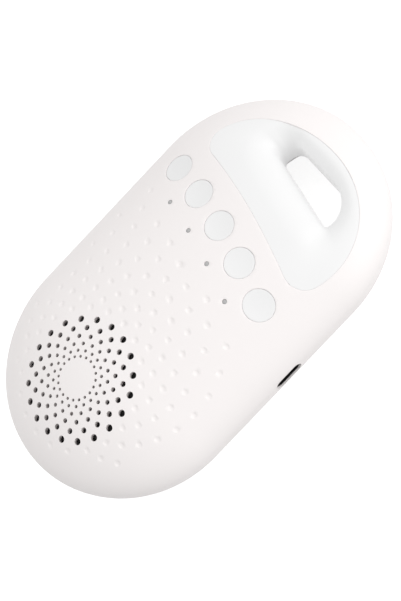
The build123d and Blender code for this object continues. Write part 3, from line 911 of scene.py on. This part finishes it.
lens = {
    "half": 29.28,
    "bottom": 9.9,
    "lean": -0.014,  # slope of its lower edge in the band's frame
    "spring": 13.58,
    "rise": 24.84,
    "apex": 2.73,  # its top is this far to the right
    "fullness": {"left": 1.85, "right": 2.05},  # 2 is an ellipse
    "corner": {"left": 6.2, "right": 5.64},
    "cornerTries": 12,  # rounds that settle where a corner meets the lower edge
    "cornerSteps": 16,
    "edgeSteps": 60,
    "arcSteps": 48,
    "gap": 0.06,
    "rows": 34,
    "crowding": 1.5,  # above 1 the rows stand closer at the slot
    "rollReach": 9.5,  # width of the rolled part beside the slot
    "rollShare": {"down": 1.0, "right": 0.3, "up": 0.1, "left": 0.7},  # how far each side is a roll
    "dishCurve": 0.6,  # 0 is a plain slope
    "skin": 1.2,
    "skirt": 2.4,
    "edgeDrop": 0.12,
    "base": {"down": 18.3, "right": 18.5, "up": 20.6, "left": 15.2},  # where the funnel meets the sleeve
    "baseDrop": 0.6,  # the sleeve's last row is this far below it
    "arcDrop": 0.2,  # lens below the housing along its arc
}

# the handle slot, in the band's frame
slot = {
    "left": -13.2,
    "right": 14.2,
    "bottom": 24.4,
    "topLeft": 30.8,
    "topRight": 34.8,
    "rounds": (1.9, 1.0, 8.0, 3.5),  # from the lower left corner, anticlockwise
    "jointLevel": 13.5,  # where the lens meets the rear housing
    "flare": 5.2,
    "leftFlare": 1.8,  # more flare at the left end
    "sleeve": 1.8,
}


def lensEdge(u):
    return lens["bottom"] + lens["lean"] * u + bowAt(u)


def lensCorner(side):
    # rounds the lower edge into one side; side is 1 or -1
    radius = lens["corner"]["right" if side > 0 else "left"]
    centre = side * (lens["half"] - radius)
    touch = centre
    for i in range(lens["cornerTries"]):
        slope = lens["lean"] - touch / band["bow"]
        touch = centre + radius * slope / math.hypot(1.0, slope)
    level = lensEdge(touch) + radius / math.hypot(1.0, slope)
    start = math.atan2(lensEdge(touch) - level, side * (touch - centre))
    turns = [start * (1.0 - i / lens["cornerSteps"]) for i in range(lens["cornerSteps"] + 1)]
    return [(centre + side * radius * math.cos(turn), level + radius * math.sin(turn)) for turn in turns]


def lensOutline():
    # anticlockwise in the band's frame
    right, left = lensCorner(1), lensCorner(-1)
    first, last = left[0][0], right[0][0]
    along = [first + (last - first) * i / lens["edgeSteps"] for i in range(1, lens["edgeSteps"])]
    loop = [(u, lensEdge(u)) for u in along] + right
    top = lens["spring"] + lens["rise"]
    for side, corner in (("right", right), ("left", left)):
        sign = 1.0 if side == "right" else -1.0
        level = max(lens["spring"], corner[-1][1])
        power = 2.0 / lens["fullness"][side]
        arc = []
        for i in range(1, lens["arcSteps"]):
            turn = 0.5 * math.pi * i / lens["arcSteps"]
            across = (lens["half"] - sign * lens["apex"]) * math.cos(turn) ** power
            arc.append((lens["apex"] + sign * across, level + (top - level) * math.sin(turn) ** power))
        loop += arc + [(lens["apex"], top)] if side == "right" else list(reversed(arc))
    return loop + list(reversed(left))


def lensLoop(grow):
    return [onBody(u, v) for u, v in grown(lensOutline(), grow)]


def slotOutline(grow):
    slope = (slot["topRight"] - slot["topLeft"]) / (slot["right"] - slot["left"])
    lift = grow * math.hypot(1.0, slope)
    low, left, right = slot["bottom"] - grow, slot["left"] - grow, slot["right"] + grow
    corners = [(left, low), (right, low), (right, slot["topRight"] + lift + grow * slope)]
    corners.append((left, slot["topLeft"] + lift - grow * slope))
    return roundedLoop(corners, [radius + grow for radius in slot["rounds"]])


def slotLoop(grow, leftwards=0.0):
    # leftwards widens the left end only
    spots = [place + way * leftwards * min(way.x, 0.0) ** 2 for place, way in slotOutline(grow)]
    return [onBody(spot.x, spot.y) for spot in spots]


# charging port in the side wall
port = {
    "y": 2.8,
    "z": 11.4,
    "width": 8.94,
    "height": 3.26,
    "metal": 0.3,
    "room": 0.35,
    "mouth": 39.5,
    "floor": 33.1,
    "back": 31.9,
    "edge": 0.08,
    "cutFrom": 30.0,
    "cutTo": 45.0,
    "segments": 48,
}


def portLoop(x, grow):
    radius = 0.5 * port["height"] + grow
    reach = 0.5 * (port["width"] - port["height"])
    loop = []
    for i in range(port["segments"]):
        turn = 2.0 * math.pi * i / port["segments"]
        shift = reach if math.cos(turn) > 0 else -reach
        y = port["y"] + shift + radius * math.cos(turn)
        loop.append((x, y, port["z"] + radius * math.sin(turn)))
    return loop


def portTool():
    return cappedSolid("portTool", [portLoop(x, port["room"]) for x in (port["cutFrom"], port["cutTo"])])


def makePortShell():
    mouth, metal, edge = port["mouth"], port["metal"], port["edge"]
    steps = [(port["back"], 0.0), (mouth - edge, 0.0), (mouth, -edge), (mouth, edge - metal)]
    steps += [(mouth - edge, -metal), (port["floor"], -metal)]
    piece = cappedSolid("portShell", [portLoop(x, grow) for x, grow in steps], body["smoothBelow"])
    # the shell's finish is painted shade, near black for the port's deep mouth
    dress(piece, "port_steel", "housing", "usb_c_shell")


def makeFrontHousing():
    seam, bevel = frontHousing["seam"], frontHousing["rimBevel"]
    _, outer = splitProfile(sideProfile(0.0), body["partLevel"] + seam)
    _, inner = splitProfile(sideProfile(body["wall"]), body["partLevel"])
    foot = [(outer[0][0] - seam, body["partLevel"])]
    piece = shellPiece("frontHousing", list(reversed(inner)) + foot + outer)
    tree = perforationTree()
    runTree(piece, tree, {**soundHoles, **dimples, "Finish": finishes["warm_white"]})
    tools = []
    for place in controlPlaces:
        loop = roundLoop(place, controls["radius"] + controls["clearance"], controls["segments"])
        tools.append(openingTool(loop, bevel))
    for place in indicatorPlaces:
        loop = roundLoop(place, indicators["radius"] + indicators["clearance"], indicators["segments"])
        tools.append(openingTool(loop, frontHousing["smallBevel"]))
    tools.append(openingTool(lambda grow: lensLoop(lens["gap"] + grow), bevel))
    tools.append(portTool())
    combine(piece, joined("tools", tools))
    soften(piece, body["smoothBelow"])
    dress(piece, "warm_white", "housing", "front_housing")
    return piece


front = makeFrontHousing()
print("front housing:", len(front.data.polygons), "faces")

# rear housing
rearHousing = {
    "screwPlaces": [(-24.5, -20.0), (24.5, -20.0), (-29.94, 34.12), (-7.47, 61.47)],
    "tube": {"radius": 2.8, "top": 10.1, "sides": 40},
    "bury": 0.5,  # tubes and the slot's sleeve start this deep in the wall
    "counterbore": {"radius": 2.6, "rim": 0.25, "out": 1.5, "top": 7.7, "sides": 56},
    "screwHole": 1.25,
    "screwHoleTop": 12.0,
    "footPlaces": [(-20.0, -42.0), (20.0, -42.0), (-20.0, 44.0), (24.0, 30.0)],
    "footRecess": {"radius": 4.3, "rim": 0.2, "out": 1.2, "top": 1.4, "sides": 64},
    "slotRim": [(0.0, 0.9), (0.35, 0.35), (0.9, 0.0)],  # level over the back, and growth there
    "slotOut": 2.2,
    "slotLap": 0.2,
    "slotTopGrow": 0.5,
    "over": 1.0,  # cutters reach this far past what they cut
}


def insideBack(x, y):
    # a level just inside the back's outer surface, with its rounding
    edge = body["backRound"]
    past = max(fromSpine(x, y) - (body["halfWidth"] - edge), 0.0)
    return body["backLevel"] + edge - math.sqrt(edge**2 - past**2) + rearHousing["bury"]


def rimmedBore(look):
    # profile of a bore that comes in from the back, with a bevelled rim
    back, radius, rim = body["backLevel"], look["radius"], look["rim"]
    profile = [(radius + look["out"], back - rearHousing["over"]), (radius + rim, back)]
    return profile + [(radius, back + rim), (radius, look["top"])]


def slotTool():
    back = body["backLevel"]
    height = slot["jointLevel"] - back
    steps = [(-rearHousing["over"], rearHousing["slotOut"] + slot["flare"] / height)]
    steps += rearHousing["slotRim"] + [(height - rearHousing["slotLap"], 0.0)]
    steps.append((height + rearHousing["over"], rearHousing["slotTopGrow"]))
    rows = []
    for level, grow in steps:
        share = max(1.0 - level / height, 0.0)
        loop = slotLoop(slot["flare"] * share + grow, slot["leftFlare"] * share)
        rows.append([(x, y, back + level) for x, y in loop])
    return cappedSolid("tool", rows)


def makeRearHousing():
    seam = frontHousing["seam"]
    outer, _ = splitProfile(sideProfile(0.0), body["partLevel"] - seam)
    inner, _ = splitProfile(sideProfile(body["wall"]), body["partLevel"])
    rim = [(outer[-1][0] - seam, body["partLevel"])]
    piece = shellPiece("rearHousing", outer + rim + list(reversed(inner)))
    low = body["backLevel"] + rearHousing["bury"]
    rows = [[(x, y, low) for x, y in slotLoop(slot["flare"] + slot["sleeve"], slot["leftFlare"])]]
    rows.append([(x, y, slot["jointLevel"]) for x, y in slotLoop(slot["sleeve"])])
    combine(piece, cappedSolid("sleeve", rows), "UNION")
    tube = rearHousing["tube"]
    for x, y in rearHousing["screwPlaces"]:
        levels = (insideBack, tube["top"])
        rows = [circle(tube["radius"], x, y, level, tube["sides"]) for level in levels]
        combine(piece, cappedSolid("tube", rows), "UNION")
    tools = [slotTool()]
    bore, recess, hole = rearHousing["counterbore"], rearHousing["footRecess"], rearHousing["screwHole"]
    for x, y in rearHousing["screwPlaces"]:
        profile = rimmedBore(bore) + [(hole, bore["top"]), (hole, rearHousing["screwHoleTop"])]
        tools.append(turnedPiece("tool", profile, x, y, bore["sides"]))
    for x, y in rearHousing["footPlaces"]:
        tools.append(turnedPiece("tool", rimmedBore(recess), x, y, recess["sides"]))
    combine(piece, joined("tools", tools))
    soften(piece, body["smoothBelow"])
    dress(piece, "warm_white", "housing", "rear_housing")
    return piece


rear = makeRearHousing()
print("rear housing:", len(rear.data.polygons), "faces")

makePortShell()
print("port shell made")


# night-light lens and the funnel round the slot
def reachTo(place, way, outline):
    # distance along a way from a place to the outline round it
    for i in range(len(outline)):
        first, second = Vector(outline[i - 1]), Vector(outline[i])
        side = second - first
        across = way.x * side.y - way.y * side.x
        if abs(across) < 1e-9:  # parallel
            continue
        gap = first - place
        away = (gap.x * side.y - gap.y * side.x) / across
        along = (gap.x * way.y - gap.y * way.x) / across
        if away > 0.0 and 0.0 <= along <= 1.0:
            return away


def aroundSlot(values, way):
    # blends four values round the slot, by direction in the band's frame
    turn = math.degrees(math.atan2(way.y, way.x)) % 360.0
    stops = [values["right"], values["up"], values["left"], values["down"], values["right"]]
    step = min(int(turn / 90.0), 3)
    return stops[step] + (stops[step + 1] - stops[step]) * ease(turn / 90.0 - step)


def lensPoint(spoke, away, drop=0.0):
    share, base = spoke["share"], spoke["base"]
    t = away / spoke["reach"]
    spot = spoke["place"] + spoke["way"] * away
    x, y = onBody(spot.x, spot.y)
    top = domeLevel(x, y) - lens["arcDrop"] * (1.0 - share)
    rolled = min(away / lens["rollReach"], 1.0)
    roll = math.sqrt(1.0 - (1.0 - rolled) ** 2)
    dish = t + lens["dishCurve"] * t * (1.0 - t)
    return x, y, base + (top - base) * (dish + (roll - dish) * share) - drop


def makeLens():
    outline, skin = lensOutline(), lens["skin"]
    spokes = []
    for place, way in slotOutline(0.0):
        spoke = {"place": place, "way": way, "reach": reachTo(place, way, outline)}
        spoke["share"] = aroundSlot(lens["rollShare"], way)
        spoke["base"] = aroundSlot(lens["base"], way)
        spokes.append(spoke)

    def sleeveRow(away, levels):
        spots = [spoke["place"] + spoke["way"] * away for spoke in spokes]
        return [(*onBody(spot.x, spot.y), level) for spot, level in zip(spots, levels)]

    # up the sleeve, out over the face, down the skirt and back inside, closed on itself
    joint = [slot["jointLevel"]] * len(spokes)
    rows = [sleeveRow(0.0, joint)]
    rows.append(sleeveRow(0.0, [spoke["base"] - lens["baseDrop"] for spoke in spokes]))
    steps = [i / lens["rows"] for i in range(lens["rows"] + 1)]
    for t in steps:
        rows.append([lensPoint(spoke, spoke["reach"] * t ** lens["crowding"]) for spoke in spokes])
    for inset, drop in ((0.0, lens["edgeDrop"]), (0.0, lens["skirt"]), (skin, lens["skirt"])):
        rows.append([lensPoint(spoke, spoke["reach"] - inset, drop) for spoke in spokes])
    for t in reversed(steps[::2]):
        inside = [skin + (spoke["reach"] - 2.0 * skin) * t for spoke in spokes]
        rows.append([lensPoint(spoke, away, skin) for spoke, away in zip(spokes, inside)])
    rows += [sleeveRow(skin, joint), rows[0]]
    points, faces = bands(list(reversed(rows)))
    piece = solid("nightLight", points, faces, smoothBelow=45.0)
    # its finish carries painted light, a glow that lifts the shaded funnel and throat
    dress(piece, "opal_white", "housing", "light_diffuser")
    return piece


nightLight = makeLens()
print("night light:", len(nightLight.data.polygons), "faces")

# buttons
button = {
    "recess": 0.1,
    "dish": 0.2,
    "dishRun": 0.25,  # the dish eases in over this share of the way to the middle
    "edgeRound": 0.14,
    "edgeSteps": 6,
    "faceInset": 0.1,
    "faceSteps": 12,
    "middle": 0.01,  # radius of the last ring
    "skirt": 3.0,
    "footInset": 0.3,
    "footTall": 1.0,
    "stem": 1.6,
    "stemSides": 32,
}


def makeButton(name, place):
    x, y = place
    radius, edge = controls["radius"], button["edgeRound"]
    rows = []

    def ringAt(r, drop):
        def level(px, py):
            return domeLevel(px, py) - button["recess"] - drop

        rows.append(circle(max(r, button["middle"]), x, y, level, controls["segments"]))

    ringAt(radius - button["footInset"], button["skirt"] + button["footTall"])
    ringAt(radius, button["skirt"])
    ringAt(radius, edge)
    for i in range(1, button["edgeSteps"] + 1):
        turn = 0.5 * math.pi * i / button["edgeSteps"]
        ringAt(radius - edge * (1.0 - math.cos(turn)), edge * (1.0 - math.sin(turn)))
    inner = radius - edge - button["faceInset"]
    for i in range(button["faceSteps"] + 1):
        share = 1.0 - i / button["faceSteps"]
        sink = button["dish"] * (1.0 - share**2) * ease((1.0 - share) / button["dishRun"])
        ringAt(inner * share, sink)
    cap = cappedSolid(name + "Cap", rows, smoothBelow=50.0)
    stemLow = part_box(name + "_button")[0][2] / mm
    stemTop = domeLevel(x, y) - button["recess"] - button["skirt"]
    profile = [(button["stem"], stemLow), (button["stem"], stemTop)]
    stem = turnedPiece(name + "Stem", profile, x, y, button["stemSides"])
    piece = joined(name + "Button", [cap, stem])
    dress(piece, "cool_white", name, name + "_button")


for name, place in zip(controls["names"], controlPlaces):
    makeButton(name, place)
print("buttons made:", len(controlPlaces))


# pieces that repeat at given places
def placingTree():
    inputs = [("Places", "Geometry"), ("Pattern", "Object"), ("Finish", "Material")]
    graph, given = growTree("placing", inputs)
    pattern = graph.add("GeometryNodeObjectInfo", {}, {"Object": given["Pattern"]}, "Geometry")
    values = {"Points": given["Places"], "Instance": pattern}
    copies = graph.add("GeometryNodeInstanceOnPoints", {}, values)
    return closeTree(graph, copies, given["Finish"])


placing = placingTree()


def placed(name, pattern, places, finishName, group, *nodes):
    mesh = bpy.data.meshes.new(name)
    mesh.from_pydata([tuple(c * mm for c in place) for place in places], [], [])
    piece = bpy.data.objects.new(name, mesh)
    scene.collection.objects.link(piece)
    runTree(piece, placing, {"Pattern": pattern, "Finish": finishes[finishName]})
    bpy.data.objects.remove(pattern)
    soften(piece, smoothBelow=40.0)
    dress(piece, finishName, group, *nodes)


screw = {
    "level": 6.4,
    "head": 2.3,
    "headTall": 1.3,
    "crown": [(0.0, 0.0), (0.55, 0.05), (0.85, 0.25), (1.0, 0.65)],  # share of the head, and depth
    "shank": 1.2,
    "long": 6.9,
    "crossLong": 2.5,
    "crossWide": 0.75,
    "crossDeep": 0.75,
    "crossTaper": 0.8,
    "over": 1.0,
    "sides": 40,
}


def crossHeadScrew():
    tall, shank = screw["headTall"], screw["shank"]
    end = tall + screw["long"]
    profile = [(screw["head"] * share, depth) for share, depth in screw["crown"]]
    profile += [(screw["head"], tall), (shank, tall), (shank, end), (0.0, end)]
    piece = turnedPiece("screw", profile, count=screw["sides"])
    arms = (screw["crossLong"], screw["crossWide"])
    for long, wide in (arms, arms[::-1]):
        a, b, top = 0.5 * long, 0.5 * wide, -screw["over"]
        rows = [[(-a, -b, top), (a, -b, top), (a, b, top), (-a, b, top)]]
        taper, deep = screw["crossTaper"], screw["crossDeep"]
        rows.append([(x * taper, y * taper, deep) for x, y, z in rows[0]])
        combine(piece, cappedSolid("cross", rows))
    return piece


places = [(x, y, screw["level"]) for x, y in rearHousing["screwPlaces"]]
placed("housingScrews", crossHeadScrew(), places, "screw_steel", "housing", "housing_screws")

foot = {
    "radius": 4.2,
    "tall": 1.4,
    "round": 0.35,
    "roundSteps": 5,
    "groove": 2.6,
    "grooveSteps": [(-0.3, 0.0), (-0.2, 0.15), (0.2, 0.15), (0.3, 0.0)],  # from its middle, and depth
    "sides": 56,
}


def rubberFoot():
    radius, edge = foot["radius"], foot["round"]
    profile = [(0.0, 0.0)] + [(foot["groove"] + shift, depth) for shift, depth in foot["grooveSteps"]]
    for i in range(foot["roundSteps"] + 1):
        turn = 0.5 * math.pi * i / foot["roundSteps"]
        profile.append((radius - edge + edge * math.sin(turn), edge - edge * math.cos(turn)))
    profile += [(radius, foot["tall"]), (0.0, foot["tall"])]
    return turnedPiece("foot", profile, count=foot["sides"])


places = [(x, y, 0.0) for x, y in rearHousing["footPlaces"]]
placed("rubberFeet", rubberFoot(), places, "foot_rubber", "housing", "rubber_feet")

pipe = {
    "recess": 0.12,
    "long": 5.0,
    "tip": [(0.0, -0.12), (-0.03, -0.05), (-0.12, 0.0)],  # from its side, and level
    "crown": 0.05,
}


def lightPipe():
    radius = indicators["radius"]
    profile = [(radius, -pipe["long"])] + [(radius + shift, level) for shift, level in pipe["tip"]]
    return turnedPiece("pipe", profile + [(0.0, pipe["crown"])], count=indicators["segments"])


places = [(x, y, domeLevel(x, y) - pipe["recess"]) for x, y in indicatorPlaces]
placed("indicatorPipes", lightPipe(), places, "smoke_lens", "housing", "indicator_light_pipes")
print("repeated pieces made")

# floor and light
studio = {
    "floorSize": 6000.0,
    "floorColour": (0.50, 0.50, 0.50),
    "floorSpread": 0.01,
    "floorCloudScale": 8.0,
    "floorGlow": 0.86,
    "skyStrength": 0.78,
    "key": {"towards": (0.55, 0.62, 0.33), "away": 900.0, "size": 700.0, "power": 3.4},
    "fill": {"towards": (-0.35, 0.20, 0.90), "away": 1000.0, "size": 900.0, "power": 1.5},
}


def backgroundRays(graph):
    # 1 where the background is seen, also in metal and glass
    rays = graph.add("ShaderNodeLightPath", {}, {}, "Is Camera Ray")
    glossy, through = graph.also(rays, "Is Glossy Ray"), graph.also(rays, "Is Transmission Ray")
    return rays.atLeast(glossy).atLeast(through)


def makeFloor():
    half = 0.5 * studio["floorSize"]
    corners = [(-half, -half, 0.0), (half, -half, 0.0), (half, half, 0.0), (-half, half, 0.0)]
    floor = solid("floor", corners, [(0, 1, 2, 3)])
    finish, graph, place = newFinish("paleFloor")
    cloud, spread = noise(graph, place, studio["floorCloudScale"]), studio["floorSpread"]
    colour = shaded(graph, cloud, studio["floorColour"], 1.0 - spread, 1.0 + spread)
    matt = graph.add("ShaderNodeBsdfDiffuse", {}, {"Color": colour})
    glow = graph.add("ShaderNodeEmission", {}, {"Color": white, "Strength": studio["floorGlow"]})
    both = graph.add("ShaderNodeAddShader", {}, {0: matt, 1: glow})
    mixed = graph.add("ShaderNodeMixShader", {}, {0: backgroundRays(graph), 1: matt, 2: both})
    graph.close("ShaderNodeOutputMaterial", "Surface", mixed)
    floor.data.materials.append(finish)


def makeSky():
    sky = bpy.data.worlds.new("sky")
    scene.world = sky
    graph = shaderGraph(sky)
    seen = backgroundRays(graph)
    soft = graph.add("ShaderNodeBackground", {}, {"Color": white, "Strength": studio["skyStrength"]})
    plain = graph.add("ShaderNodeBackground", {}, {"Color": white, "Strength": 1.0})
    mixed = graph.add("ShaderNodeMixShader", {}, {0: seen, 1: soft, 2: plain})
    graph.close("ShaderNodeOutputWorld", "Surface", mixed)


def makeLamp(name, look):
    light = bpy.data.lights.new(name, "AREA")
    light.shape = "DISK"
    light.size = look["size"] * mm
    light.energy = look["power"]
    lamp = bpy.data.objects.new(name, light)
    scene.collection.objects.link(lamp)
    towards = Vector(look["towards"]).normalized()
    lamp.location = towards * look["away"] * mm
    lamp.rotation_euler = towards.to_track_quat("Z", "Y").to_euler()
    lamp.visible_camera = False


makeFloor()
makeSky()
makeLamp("key", studio["key"])
makeLamp("fill", studio["fill"])
scene.view_settings.view_transform = "Standard"
print("studio made")
